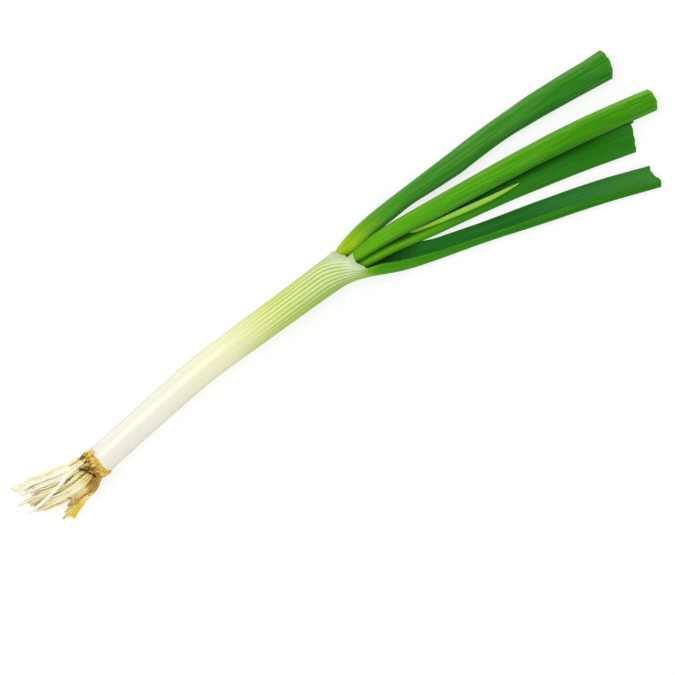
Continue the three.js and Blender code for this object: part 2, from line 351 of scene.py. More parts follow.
class Finish:
    """A material, built up node by node round one Principled shader."""

    def __init__(self, name, **constants):
        self.material = bpy.data.materials.new(name)
        self.material.use_nodes = True
        self.tree = self.material.node_tree
        self.shader = self.tree.nodes["Principled BSDF"]
        for socket, value in constants.items():
            self.shader.inputs[socket.replace("_", " ")].default_value = value

    def node(self, kind, settings=None, inputs=None, output=0):
        """Adds a node, with its settings and what goes into it, and gives back one of its outputs."""
        made = self.tree.nodes.new(kind)
        for key, value in (settings or {}).items():
            if key == "stops":
                self.set_stops(made.color_ramp, value)
            else:
                setattr(made, key, value)
        for key, value in (inputs or {}).items():
            self.feed(made.inputs[key], value)
        return Value(self, made.outputs[output])

    def feed(self, socket, value):
        """Links a value to a socket, or sets the socket where the value is a constant."""
        if isinstance(value, Value):
            self.tree.links.new(value.socket, socket)
        else:
            socket.default_value = value

    @staticmethod
    def set_stops(ramp, stops):
        ramp.elements.remove(ramp.elements[1])
        ramp.elements[0].position = stops[0][0]
        ramp.elements[0].color = stops[0][1]
        for place, colour in stops[1:]:
            ramp.elements.new(place).color = colour

    def mix(self, factor, a, b, blend="MIX"):
        settings = {"data_type": "RGBA", "blend_type": blend}
        return self.node("ShaderNodeMix", settings, {0: factor, 6: a, 7: b}, output=2)

    def grain(self):
        """How far round the piece, in turns, and how far along it, in metres."""
        place = self.node("ShaderNodeUVMap", {"uv_map": GRAIN})
        round_it = self.node("ShaderNodeSeparateXYZ", inputs={0: place})
        along_it = Value(self, round_it.socket.node.outputs[1])
        return round_it, along_it

    def mark(self):
        """What sets each point apart, as the piece was given it."""
        return self.node("ShaderNodeAttribute", {"attribute_name": MARK}, output=2)

    def place(self):
        """x, y and z in the row frame, in millimetres."""
        where = self.node("ShaderNodeTexCoord", output=3)
        split = self.node("ShaderNodeSeparateXYZ", inputs={0: where})
        return [Value(self, split.socket.node.outputs[k]) * 1000 for k in range(3)]

    def speckle(self, x, y, z=0.0, detail=3.0):
        """Noise of 0 to 1 over three values, each already scaled."""
        vector = self.node("ShaderNodeCombineXYZ", inputs={0: x, 1: y, 2: z})
        inputs = {"Vector": vector, "Scale": 1.0, "Detail": detail, "Roughness": 0.5}
        return self.node("ShaderNodeTexNoise", inputs=inputs)

    def streaks(self, along, turn, count, detail=3.0):
        """Noise drawn out along a piece, with about this many streaks round it."""
        angle = turn * (2 * math.pi)
        reach = count / (2 * math.pi)
        return self.speckle(along, angle.math("COSINE") * reach, angle.math("SINE") * reach, detail)

    def ramp(self, value, places_and_colours):
        """Colours, as they look on a screen, at rising places of a value."""
        first, last = places_and_colours[0][0], places_and_colours[-1][0]
        length = last - first
        stops = [((place - first) / length, srgb(*colour)) for place, colour in places_and_colours]
        inputs = {"Value": value, "From Min": first, "From Max": last}
        share = self.node("ShaderNodeMapRange", inputs=inputs)
        return self.node("ShaderNodeValToRGB", {"stops": stops}, {0: share})

    def bump(self, height, distance, under=None):
        """A bump of this height in metres, on top of another bump where one is given."""
        inputs = {"Height": height, "Distance": distance, "Strength": 1.0}
        if under is not None:
            inputs["Normal"] = under
        return self.node("ShaderNodeBump", inputs=inputs)

    def done(self, **sockets):
        """The material, with these values feeding its shader."""
        for socket, value in sockets.items():
            self.feed(self.shader.inputs[socket.replace("_", " ")], value)
        return self.material


def side_of(turn):
    """+1 along a leaf's +Y edge, -1 along its -Y edge and 0 along its top, from the turns round it."""
    return (turn * (2 * math.pi)).math("SINE")


def blade_colour(made, x, drift, streaks, hairs):
    """The green of the outer leaf's blade: bright outside, bluish in its trough and darker there as
    painted shade, with a painted highlight along its ridge.
    """
    inside = made.mark()
    outside = made.ramp(x + drift * 10, BLADE_OUTSIDE)
    trough = made.ramp(x + drift * 10, BLADE_TROUGH)
    light = (streaks - 0.5).step(0.0, 0.12)
    dark = (0.5 - hairs).step(0.0, 0.12)
    outside = made.mix(light * 0.3, outside, srgb(90, 168, 24))
    outside = made.mix(dark * 0.3, outside, srgb(26, 112, 2))
    trough = made.mix(light * 0.3, trough, srgb(66, 142, 70))
    trough = made.mix(dark * 0.35, trough, srgb(16, 84, 16))
    blade = made.mix(inside.step(0.25, 0.75), outside, trough)
    # A painted highlight along the blade's ridge.
    ridge_highlight = inside.step(0.12, 0.45) * inside.step(0.88, 0.55)
    return made.mix(ridge_highlight * x.step(28, 50) * x.step(150, 90) * 0.25, blade, srgb(90, 164, 40))


def sheath_finish():
    """The white shank shading to green, with veins that run on into the blade."""
    made = Finish(
        "sheath_skin",
        Specular_IOR_Level=0.1,
        Coat_IOR=1.65,
        Coat_Roughness=0.08,
        Subsurface_Weight=0.08,
        Subsurface_Scale=0.002,
    )
    turn, before_rim = made.grain()
    x, y, z = made.place()
    drift = made.streaks(x * 0.03, turn, 9, detail=2) - 0.5
    streaks = made.streaks(x * 0.02, turn, 34)
    hairs = made.streaks(x * 0.06, turn, 110)
    fine = made.streaks(x * 0.4, turn, 150)
    # The ground colour of the shank, darker along its edges as painted shade, and greener along its -Y
    # edge.
    ground = made.ramp(x + drift * 16, SHANK_GROUND)
    across = (turn * (2 * math.pi)).math("COSINE")
    edges = across.math("ABSOLUTE").step(0.75, 1.0)
    ground = made.mix(edges * 0.5, ground, srgb(214, 211, 188), "MULTIPLY")
    lower_edge = across.step(0.2, 1.0) * x.step(-70, 5)
    ground = made.mix(lower_edge * 0.75, ground, srgb(136, 182, 62))
    # The veins show from the middle of the shank, and fade in the thin rim of the collar.
    ridge = (turn * (VEINS_ROUND_SHANK * 2 * math.pi) + drift * 2.6).math("COSINE") * 0.5 + 0.5
    beside = 1 - turn.step(-0.30, -0.20) * turn.step(0.44, 0.34)
    membrane = before_rim.step(0.010, 0.002) * beside
    showing = (x + streaks * 34).step(-38, -6) * (1 - membrane)
    veined = ridge.step(0.58, 0.82) * showing * (0.7 + streaks * 0.8).math("MINIMUM", 1)
    vein_colour = made.mix(lower_edge * 0.6, made.ramp(x, SHANK_VEINS), srgb(118, 172, 6))
    between = (hairs - 0.5).step(0.0, 0.12) * showing
    colour = made.mix(between * 0.28, ground, srgb(160, 196, 70))
    colour = made.mix(veined, colour, vein_colour)
    pale_rim = before_rim.step(0.0042, 0.0006) * (1 - turn.step(-0.28, -0.24) * turn.step(0.44, 0.38))
    colour = made.mix(pale_rim * 0.75, colour, srgb(180, 206, 148))
    # The blade's green starts a little before the rim, in the middle of its foot.
    middle = turn.step(-0.29, -0.23) * turn.step(0.44, 0.36)
    on_blade = (before_rim.step(0.0075, -0.001) * middle).math("MAXIMUM", before_rim.step(0.0, -0.0004))
    colour = made.mix(on_blade, colour, blade_colour(made, x, drift, streaks, hairs))
    pale_streaks = (streaks - 0.5).step(0.0, 0.35) * (1 - on_blade)
    colour = made.mix(pale_streaks * 0.12, colour, srgb(255, 255, 240))
    colour = made.mix((fine - 0.5).step(0.0, 0.3) * 0.10, colour, srgb(150, 160, 90), "MULTIPLY")
    # Some earth is left at the foot, next to the basal plate.
    stain = made.speckle(x * 0.9, y * 0.6, z * 0.6) + x.step(-129.2, -132.0) * 0.4
    colour = made.mix(stain.step(0.62, 0.84) * x.step(-125, -130), colour, srgb(222, 190, 112))
    shine = x.step(-36, -62)
    under = made.bump(ridge * showing + streaks * 0.5 + hairs * 0.5, 0.00007)
    return made.done(
        Base_Color=colour,
        Roughness=0.38 + on_blade * 0.08 + streaks * 0.08,
        Coat_Weight=shine * (0.5 + (hairs - 0.5).step(-0.08, 0.12) * 0.5),
        Normal=made.bump(fine, 0.00002, under),
    )


def leaf_finish(name, along, sheen_and_pale_green, deep, cut, light=0.4, dark=0.7, neighbour_shadow=0.0, edge=0.3, veins=46):
    """A leaf's green skin: its colours along it, a painted sheen on its +Y side, painted shade on its -Y
    side and its veins.

    sheen_and_pale_green and deep are the lighter and the darker green, which paint the sheen and the
    shade and also its streaks, and cut is the green of its cut end. light, dark and edge are how strong
    the painted sheen on the +Y side, the painted shade on the -Y side and the pale -Y rim are.
    neighbour_shadow is how much painted shadow darkens its +Y side where a neighbour lies over it.
    """
    made = Finish(name, Specular_IOR_Level=0.1, Specular_Tint=(0.6, 1.0, 0.25, 1))
    turn, before_cut = made.grain()
    x = made.place()[0]
    inside = made.mark()
    side = side_of(turn)
    blotches = made.streaks(x * 0.035, turn, 5, detail=2)
    streaks = made.streaks(x * 0.02, turn, 34)
    hairs = made.streaks(x * 0.05, turn, 72)
    fine = made.streaks(x * 0.4, turn, 170)
    colour = made.ramp(x + (blotches - 0.5) * 14, along)
    sheen_and_pale_green, deep = srgb(*sheen_and_pale_green), srgb(*deep)
    lit = (side + (streaks - 0.5) * 0.9).step(0.25, 1.0)
    # Painted sheen: the +Y side lighter, as though lit from that side.
    colour = made.mix(lit * light * x.step(12, 42), colour, sheen_and_pale_green)
    # Painted shade: the -Y side darker, away from the light.
    shaded = (side * -1 + (blotches - 0.5) * 0.5).step(0.1, 0.95)
    colour = made.mix(shaded * dark * x.step(15, 50), colour, deep)
    ridge = (turn * (veins * 2 * math.pi) + (streaks - 0.5) * 4).math("COSINE") * 0.5 + 0.5
    colour = made.mix(ridge.step(0.4, 1.0) * 0.12, colour, sheen_and_pale_green)
    colour = made.mix((streaks - 0.5).step(0.0, 0.12) * 0.24, colour, sheen_and_pale_green)
    colour = made.mix((hairs - 0.5).step(0.0, 0.12) * 0.26, colour, sheen_and_pale_green)
    colour = made.mix((0.5 - hairs).step(0.0, 0.12) * 0.3, colour, deep)
    colour = made.mix((fine - 0.5).step(0.0, 0.15) * 0.15, colour, deep)
    # Painted shadow on the +Y side, where a neighbouring leaf lies over it.
    reach = (blotches - 0.5) * 0.3 + x.step(135, 90) * 0.25
    neighbour_shadow_mask = (side + reach).step(-0.1, 0.7) * x.step(156, 128) * neighbour_shadow
    colour = made.mix(neighbour_shadow_mask, colour, srgb(12, 72, 6))
    colour = made.mix(side.step(-0.90, -0.985) * edge, colour, srgb(88, 150, 66))
    colour = made.mix(before_cut.step(0.002, 0.0002) * 0.4, colour, srgb(*cut))
    colour = made.mix(inside, colour, srgb(120, 165, 80))
    under = made.bump(ridge * 0.6 + streaks + hairs * 0.5, 0.00006)
    return made.done(
        Base_Color=colour,
        Roughness=0.44 + hairs * 0.12,
        Normal=made.bump(fine, 0.00003, under),
    )


def pitted(made, colour, rim):
    """A colour with dark threads, and dark hollows where roots have rotted away, painted dark as their
    shade since the surface has no hollow there, each in a brown rim.
    """
    x, y, z = made.place()
    rough = (made.speckle(x * 0.9, y * 1.3, detail=4) - 0.5) * 3
    dark = halo = None
    for (x1, y1), (x2, y2), reach, depth in PITS:
        length_squared = (x2 - x1) ** 2 + (y2 - y1) ** 2
        along = (x - x1) * ((x2 - x1) / length_squared) + (y - y1) * ((y2 - y1) / length_squared)
        along = along.math("MAXIMUM", 0).math("MINIMUM", 1)
        from_x = x - x1 - along * (x2 - x1)
        from_y = y - y1 - along * (y2 - y1)
        distance = (from_x * from_x + from_y * from_y).math("SQRT") + rough * reach
        spot = distance.step(reach, reach * 0.3) * depth
        round_it = distance.step(reach * 2.2, reach * 0.8) * depth
        dark = spot if dark is None else dark.math("MAXIMUM", spot)
        halo = round_it if halo is None else halo.math("MAXIMUM", round_it)
    on_top = z.step(7, 11)
    colour = made.mix(halo * on_top * rim, colour, srgb(*PIT_RIM_COLOUR))
    return made.mix(dark * on_top, colour, srgb(*PIT_COLOUR))


def root_finish(name="root_skin", tip=None):
    """Dried and fresh roots: cream to tan by each root's tone, with darker skin, specks of earth and
    painted shade on the roots lying lowest.

    tip is the colour that the root's end has turned, where it has.
    """
    made = Finish(name, Specular_IOR_Level=0.2, Subsurface_Weight=0.1, Subsurface_Scale=0.0015)
    turn, along = made.grain()
    x, y, z = made.place()
    tone = made.mark()
    blotches = made.speckle(x * 0.35, y * 0.6, z * 0.6)
    fibres = made.speckle(along * 90, turn * 9, tone * 40)
    shade = tone + (blotches - 0.5) * 0.6 + (fibres - 0.5) * 0.35
    # Brown towards the plate; and roots lying low, under the others, a little tanner as painted shade.
    shade = shade + (x + (fibres - 0.5) * 8).step(-146, -138) * 0.44 + z.step(12.0, 7) * 0.1
    colour = made.ramp(shade, ROOT_COLOURS)
    if tip is not None:
        colour = made.mix(along.step(0.013, 0.0175) * 0.9, colour, srgb(*tip))
    earth = made.speckle(x * 0.9, y * 0.9, z * 0.9, detail=4)
    specks = (earth + x.step(-150, -138) * 0.1).step(0.68, 0.76)
    colour = made.mix(specks * 0.8, colour, srgb(92, 64, 22))
    colour = pitted(made, colour, 0.6)
    return made.done(
        Base_Color=colour,
        Roughness=0.5 + fibres * 0.25,
        Normal=made.bump(fibres, 0.00012, made.bump(blotches, 0.0002)),
    )


def plate_finish():
    """Golden-brown fibrous skin, dark in its pits."""
    made = Finish("plate_skin", IOR=1.4)
    x, y, z = made.place()
    fibres = made.speckle(x * 0.35, y * 1.1, z * 1.1, detail=5)
    lumps = made.speckle(x * 0.5, y * 0.45, z * 0.45)
    shade = fibres * 0.95 + lumps * 0.8 - 0.15 - x.step(-132.5, -138) * 0.32
    colour = made.ramp(shade, PLATE_COLOURS)
    colour = pitted(made, colour, 0.5)
    return made.done(
        Base_Color=colour,
        Roughness=0.62 + fibres * 0.2,
        Normal=made.bump(fibres, 0.0004, made.bump(lumps, 0.0006)),
    )


# ---------------------------------------------------------------- leaves


def back_leaf_spread(x):
    """Its +Y edge lies under the centre leaf."""
    return 0.0, 0.0018 * smoothstep(0.006, 0.02, x)


def upper_leaf_spread(x):
    """It reaches down to the centre leaf near the collar, and flares at its cut end."""
    beside_centre = 0.0019 * smoothstep(0.008, 0.02, x) * smoothstep(0.056, 0.034, x)
    return beside_centre, 0.0006 * smoothstep(0.152, 0.164, x)


def upper_leaf_cut(c):
    """How far each side of the upper leaf ends from its furthest point, c being 1 at +Y and -1 at -Y."""
    return (0.1 + 0.88 * c - 1.62 * c * c + 0.2 * waver(31, c * 9)) * MM


def centre_leaf_cut(c):
    """Nearly straight across, a little rounded."""
    return (0.55 + 0.55 * c - 1.1 * c * c + 0.15 * waver(32, c * 9)) * MM


def back_leaf_cut(c):
    """A slanting cut, with a notch and a frayed corner on the +Y side."""
    notch = 0.8 * np.exp(-(((c - 0.82) / 0.06) ** 2))
    return (2.0 + 2.6 * (c - 1) - notch + 0.2 * waver(33, c * 11) + 1.0 * smoothstep(0.86, 1.0, c)) * MM


def leaf(name, finish, cut, seed, spread=None):
    """A hollow leaf: its skin from its foot to its cut end, round the wall, and back inside.

    spread moves its -Y edge and its +Y edge outwards by what it gives at x.
    """
    columns = 96
    low, high = (corner[0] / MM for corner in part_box(name))
    shape = outline(name, (low + 1.2) * MM, (high - 4) * MM, 24)
    x_end = high * MM
    angle = angles_round(columns) - math.pi / 2
    across, up = np.cos(angle), np.sin(angle)
    ribs = 1 + 0.006 * np.cos(angle * 24) + 0.003 * np.cos(angle * 41 + 1)

    def ring(t, thinner=0.0, back=0.0):
        x = low * MM + (x_end - low * MM) * t + cut(across) * smoothstep(0.8, 1.0, t) - back
        y_low, y_high, z_low, z_high = np.moveaxis(shape(x), -1, 0)
        if spread is not None:
            y_low, y_high = y_low - spread(x)[0], y_high + spread(x)[1]
        wave = 1 + 0.012 * waver(seed, x * 90)
        half_width = (y_high - y_low) / 2 * wave * ribs - thinner
        half_height = (z_high - z_low) / 2 * ribs - thinner
        y = (y_low + y_high) / 2 + half_width * across
        z = np.maximum((z_low + z_high) / 2 + half_height * up, thinner)
        return np.stack([x, y, z], axis=-1)

    skin = Skin()
    shares = np.linspace(0, 1, 170)
    outside = skin.add([ring(t) for t in shares])
    grain = closed_grain(columns, x_end - (low * MM + (x_end - low * MM) * shares))
    skin.grid(wrapped(outside), grain)
    skin.cap(outside[0], grain[0, :-1])
    backs = np.array([0, 0.0004, 0.004, 0.012, 0.02])
    inside = skin.add([ring(1, LEAF_WALL, back) for back in backs], mark=1)
    inner_grain = closed_grain(columns, backs)
    skin.grid(wrapped(np.vstack([outside[-1:], inside])), np.concatenate([grain[-1:], inner_grain]))
    skin.cap(inside[-1], inner_grain[-1, :-1])
    return skin.piece(name + "_skin", finish, [name])


def young_leaf(finish):
    """The young leaf: a narrow folded blade that tapers to a closed point."""
    name = "young_leaf"
    low, high = (corner[0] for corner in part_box(name))
    shape = outline(name, low + 0.001, high - 0.0015, 20)
    thinnest = 0.0001
    angle = angles_round(40) - math.pi / 2
    fold = 1 - 0.3 * np.exp(-(((np.cos(angle) + 0.1) / 0.35) ** 2)) * (np.sin(angle) > 0)
    shares = np.linspace(0, 1, 130)
    rows = []
    for t in shares:
        x = low + (high - low) * t
        y_low, y_high, z_low, z_high = shape(x)
        narrow = 0.2 + 0.8 * smoothstep(0, 0.4, t)
        half_width = max((y_high - y_low) / 2 * narrow, thinnest)
        half_height = max((z_high - z_low) / 2, thinnest)
        y = y_high - half_width + half_width * np.cos(angle)
        z = (z_low + z_high) / 2 + half_height * np.sin(angle) * fold
        rows.append(np.stack([np.full(len(angle), x), y, z], axis=-1))
    skin = Skin()
    skin.tube(rows, high - (low + (high - low) * shares))
    return skin.piece(name + "_skin", finish, [name])


# ---------------------------------------------------------------- the outermost leaf

OUTER_COLUMNS = 144
# Its -Y edge all along, then its +Y edge along the sheath and along the blade.
outer_low = outline("outer_leaf", -0.1292, 0.1490, 60)
sheath_high = outline("outer_leaf", -0.1292, 0.0085, 18)
blade_high = outline("outer_leaf", 0.026, 0.1535, 22)
blade_section = curve_through([k[0] * MM for k in BLADE_SECTIONS], [k[1:] for k in BLADE_SECTIONS])
blade_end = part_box("outer_leaf")[1][0]


def foot(c):
    """x of the shank's foot, c being 1 at +Y and -1 at -Y."""
    return SHANK_FOOT_X - SHANK_FOOT_SLANT * c


def mouth_floor(c):
    """x of the floor of the sheath's mouth, which is straight across."""
    return np.full_like(c, MOUTH_FLOOR_X)


def rim(c, s):
    """x of the slanting rim, a little ragged, with a torn tooth on top between the leaves."""
    tooth = 0.003 * np.clip(np.minimum((c + 0.06) / 0.26, (0.25 - c) / 0.05), 0, 1) * (s > 0)
    ragged = 0.0003 * waver(6, c * 14) * (c > -0.5)
    return RIM_MIDDLE_X - RIM_SLANT * c + tooth + ragged


def vein_turns(x, phi):
    """Turns from the -Y edge, spread so that the veins gather towards the blade."""
    gather = 1 - 0.45 * smoothstep(-0.002, 0.021, x)
    return (phi - math.pi) / (2 * math.pi) / gather


def sheath_ring(x, phi, thinner):
    """Points round the sheath, which lies close against the other leaves at the rim."""
    c, s = np.cos(phi), np.sin(phi)
    y_low = outer_low(x)[..., 0]
    y_high = sheath_high(x)[..., 1]
    vein = vein_turns(x, phi)
    rib = 0.00005 * np.cos(vein * VEINS_ROUND_SHANK * 2 * math.pi) * smoothstep(-0.06, -0.02, x)
    y = (y_low + y_high) / 2 + ((y_high - y_low) / 2 - thinner + rib) * c
    beyond_rim = x - RIM_MIDDLE_X + RIM_SLANT * c
    y = y + 0.5 * np.maximum(beyond_rim, 0) * (np.abs(c - 0.1) < 0.2) * (s > 0)
    height = SHANK_HALF_HEIGHT - 0.0009 * smoothstep(0.002, 0.018, x) * (s > 0)
    hug = (0.0003 + 0.0006 * smoothstep(0.3, 0.7, c)) * (s > 0) * (c > -0.5)
    hug = hug * smoothstep(0.005, 0.0, -beyond_rim)
    z = np.maximum(SHANK_AXIS_Z + (height - thinner + rib - hug) * s, thinner)
    return np.stack([np.broadcast_to(x, y.shape), y, z], axis=-1)


def sheath_sheet(skin, shares, start, walls, mark):
    """A skin of the sheath from start to the rim, closed at start. Gives back its row at the rim."""
    angle = angles_round(OUTER_COLUMNS)
    closed = np.append(angle, 2 * math.pi)
    start_x = start(np.cos(closed))
    rim_x = rim(np.cos(closed), np.sin(closed))
    rows, grain = [], []
    for t, wall in zip(shares, walls):
        x = start_x * (1 - t) + rim_x * t
        rows.append(sheath_ring(x[:-1], angle, wall))
        grain.append(np.stack([vein_turns(x, closed), rim_x - x], axis=-1))
    numbers = skin.add(rows, mark)
    grain = np.array(grain)
    skin.grid(wrapped(numbers), grain)
    skin.cap(numbers[0], grain[0, :-1])
    return numbers[-1], grain[-1]


def blade_cut(share):
    """How far the blade ends from its furthest point, at a share of its width from its -Y edge."""
    places, gaps = zip(*BLADE_CUT)
    return -(np.interp(share, places, gaps) + 0.15 * waver(34, share * 20)) * MM


def across_blade(ridge, inside):
    """Shares of the blade's width that a row across it passes through, with its ridge at a share."""
    if inside:
        return [ridge + 0.035, ridge + 0.14, ridge + (1 - ridge) * 0.62, 0.93, 0.975]
    return [ridge, ridge * 0.38, 0, 0.24, 0.72, 1]


def up_blade(ridge_z, far_z, trough_z, inside):
    """How high the row is there."""
    if inside:
        near_ridge = ridge_z * 0.62 + trough_z * 0.38
        near_edge = far_z * 0.75 + trough_z * 0.25
        return [ridge_z - 0.0001, near_ridge, trough_z, near_edge, far_z]
    return [ridge_z, ridge_z * 0.84, ridge_z * 0.42, LEAST_GAP, LEAST_GAP, far_z * 0.93]


def blade_row(phi, t, inside):
    """A row across the blade, at a share of its length, that grows out of the rim at the angles phi.

    It runs from the ridge round the -Y edge and the underside, or inside across the trough.
    """
    places = [0, 0.22, 0.6, 0.88, 1] if inside else [0, 0.16, 0.34, 0.55, 0.8, 1]
    share_round = np.arange(len(phi)) / (len(phi) - 1)
    end_share = curve_through(places, across_blade(BLADE_SECTIONS[-1][1], inside))(share_round)
    rim_x = rim(np.cos(phi), np.sin(phi))
    x = rim_x + (blade_end + blade_cut(end_share) - rim_x) * t
    y_low = outer_low(x)[:, 0]
    width = blade_high(x)[:, 1] - y_low + 0.0028 * smoothstep(0.056, 0.038, x)
    y, z = np.empty_like(x), np.empty_like(x)
    for k, place in enumerate(share_round):
        ridge, *heights = blade_section(x[k]) * [1, MM, MM, MM]
        y[k] = y_low[k] + width[k] * curve_through(places, across_blade(ridge, inside))(place)
        z[k] = curve_through(places, up_blade(*heights, inside))(place)
    # It starts round like the sheath, and takes its own section over the first 16 or 22 mm.
    arc = sheath_ring(x, phi, 0.0003 if inside else 0.0)
    blend = smoothstep(0, 0.022 if inside else 0.016, x - rim_x)
    y = arc[:, 1] * (1 - blend) + y * blend
    z = arc[:, 2] * (1 - blend) + z * blend
    return np.stack([x, y, np.maximum(z, 0.00005)], axis=-1)


def blade(skin, phi, outer_rim, inner_rim, rim_grain):
    """The blade's outside and inside, from the part of the rim at the angles phi to its cut end."""
    along = np.linspace(0, 1, 170) ** 1.15
    # The mark rises near the ridge, where the blade's finish paints a highlight.
    near_ridge = 0.45 * np.exp(-((np.arange(len(phi)) / 2.5) ** 2))
    out = skin.add([blade_row(phi, t, False) for t in along[1:]], near_ridge)
    into = skin.add([blade_row(phi, t, True) for t in along[1:]], 1 - near_ridge)
    out, into = np.vstack([outer_rim, out]), np.vstack([inner_rim, into])
    distances = -(blade_end - RIM_MIDDLE_X) * along
    grain = np.array([[(turn, distance) for turn, _ in rim_grain] for distance in distances])
    grain[0] = rim_grain
    skin.grid(out, grain)
    skin.grid(into, grain)
    for k in (0, -1):
        edge_grain = np.stack([grain[:, k], grain[:, k]], axis=1)
        skin.grid(np.stack([out[:, k], into[:, k]], axis=1), edge_grain)
    blade_hollow(skin, phi, out[-1], into[-1], grain[-1])


def blade_hollow(skin, phi, out, into, grain):
    """The blade's cut end, and the flattened hollow behind it."""
    loops = []
    for back in (0, 0.0005, 0.006, 0.012):
        t = 1 - back / (blade_end - RIM_MIDDLE_X)
        outer_row, inner_row = blade_row(phi, t, False), blade_row(phi, t, True)
        middle = (outer_row + inner_row) / 2
        loops.append(np.concatenate([(middle + outer_row) / 2, ((middle + inner_row) / 2)[::-1]]))
    numbers = np.vstack([np.concatenate([out, into[::-1]]), skin.add(loops, mark=1)])
    end_grain = np.concatenate([grain, grain[::-1]])
    skin.grid(wrapped(numbers), wrapped(np.array([end_grain] * len(numbers))))
    upper, lower = numbers[-1, : len(phi)], numbers[-1, len(phi) :][::-1]
    skin.grid(np.stack([upper, lower]), np.stack([grain, grain]))


def outer_leaf(finish):
    """The outermost leaf as one thick sheet: the sheath round the shank, its collar, and its blade."""
    skin = Skin()
    outer_shares, inner_shares = np.linspace(0, 1, 240), np.linspace(0, 1, 24)
    walls = np.interp(inner_shares, [0, 0.7, 1], [0.0009, 0.0007, 0.0003])
    outer, outer_grain = sheath_sheet(skin, outer_shares, foot, 0 * outer_shares, mark=0)
    inner, inner_grain = sheath_sheet(skin, inner_shares, mouth_floor, walls, mark=0.3)

    # Part of the rim grows on as the blade, and the rest ends as the collar's edge.
    first, last = (round(OUTER_COLUMNS * degrees / 360) for degrees in BLADE_FOOT_ARC)
    grown = np.arange(first, last + 1)
    free = np.arange(last, OUTER_COLUMNS + first + 1) % OUTER_COLUMNS
    skin.grid(np.stack([outer[free], inner[free]]), np.stack([outer_grain[free], inner_grain[free]]))
    phi = angles_round(OUTER_COLUMNS)[grown]
    blade(skin, phi, outer[grown], inner[grown], outer_grain[grown])
    return skin.piece("outer_leaf_skin", finish, ["outer_leaf"])


# ---------------------------------------------------------------- basal plate and roots


def basal_plate(finish):
    """A lumpy fibrous disc, flaring to the roots, with torn skin standing over the shank's foot."""
    low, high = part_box("basal_plate")
    centre_y = (low[1] + high[1]) / 2 + 0.0005
    columns = 160
    angle = angles_round(columns)
    c, s = np.cos(angle), np.sin(angle)
    draw = np.random.default_rng(5)
    tears = draw.uniform(0, 1, columns // 2)
    torn = 0.0012 * np.interp(np.arange(columns), np.arange(0, columns, 2), tears)
    foot = high[0] - PLATE_LEAN * PLATE_RADIUS - 0.0006
    back = low[0] + PLATE_LEAN * PLATE_RADIUS
    skin = Skin()
    rows = []
    for t, share in PLATE_RINGS:
        x = foot + (back - foot) * t - PLATE_LEAN * PLATE_RADIUS * c
        x = x + torn * (1 - smoothstep(-0.2, 0.15, t)) * (share > 0.99)
        lumps = 0.05 * waver(12, angle * 13 + t * 9, 3) * smoothstep(0, 0.5, t)
        rough = 0.025 * waver(11, angle * 5 + t * 3, 5) + lumps
        radius = PLATE_RADIUS * (share + rough * smoothstep(-0.3, 0.3, t))
        y = centre_y + radius * c
        z = np.maximum(SHANK_AXIS_Z + radius * 0.96 * s, LEAST_GAP)
        rows.append(np.stack([x, y, z], axis=-1))
    skin.tube(rows, [t * 0.006 for t, _ in PLATE_RINGS])
    return skin.piece("basal_plate_skin", finish, ["basal_plate"])


def strand(skin, path, radii, tone, sides, flat):
    """Adds one root to a skin: a tube along a path of points, closed at both ends."""
    path = np.asarray(path)
    forward = np.gradient(path, axis=0)
    forward /= np.linalg.norm(forward, axis=1)[:, None]
    across = np.cross([0, 0, 1.0], forward)
    across /= np.linalg.norm(across, axis=1)[:, None]
    up = np.cross(forward, across)
    angle = angles_round(sides)
    rows = [
        p + r * (np.cos(angle)[:, None] * a + flat * np.sin(angle)[:, None] * u)
        for p, r, a, u in zip(path, radii, across, up)
    ]
    along = np.concatenate([[0], np.cumsum(np.linalg.norm(np.diff(path, axis=0), axis=1))])
    skin.tube(rows, along, tone)


def root_path(name, count=56):
    """The middle line and radius of a root, from the plate to its tip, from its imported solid."""
    low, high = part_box(name)
    margin = 0.0009
    places = np.linspace(low[0] + margin, high[0] - margin, 9)
    cuts = np.array([section(name, x) for x in places])
    y_low, y_high, z_low, z_high = cuts.T
    middles = np.column_stack([(y_low + y_high) / 2, (z_low + z_high) / 2, (z_high - z_low) / 2])
    shape = curve_through(places, middles)
    x = np.linspace(high[0] + 0.0022, low[0], count)
    y, z, radius = np.moveaxis(shape(x), -1, 0)
    return np.column_stack([x, y, z]), radius


def towards_lower_side(path):
    """0 for a root of the pale upper tufts, 1 for one of the tan tuft on the -Y side."""
    y = path[len(path) // 2, 1]
    return float(0.38 * smoothstep(-0.006, -0.0125, y) + 0.62 * smoothstep(-0.0145, -0.0185, y))


def lowered_by_stout_root(path):
    """How far the roots under the stout one, along the -Y edge, lie lower than their solids."""
    y, z = path[:, 1], path[:, 2]
    return smoothstep(-0.0165, -0.0195, y) * np.maximum(z - 0.0035, 0) * 0.7


def root_names():
    """The names of the root nodes. The last two are the crossing root and the stout root."""
    return sorted(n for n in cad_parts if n.startswith("root_"))


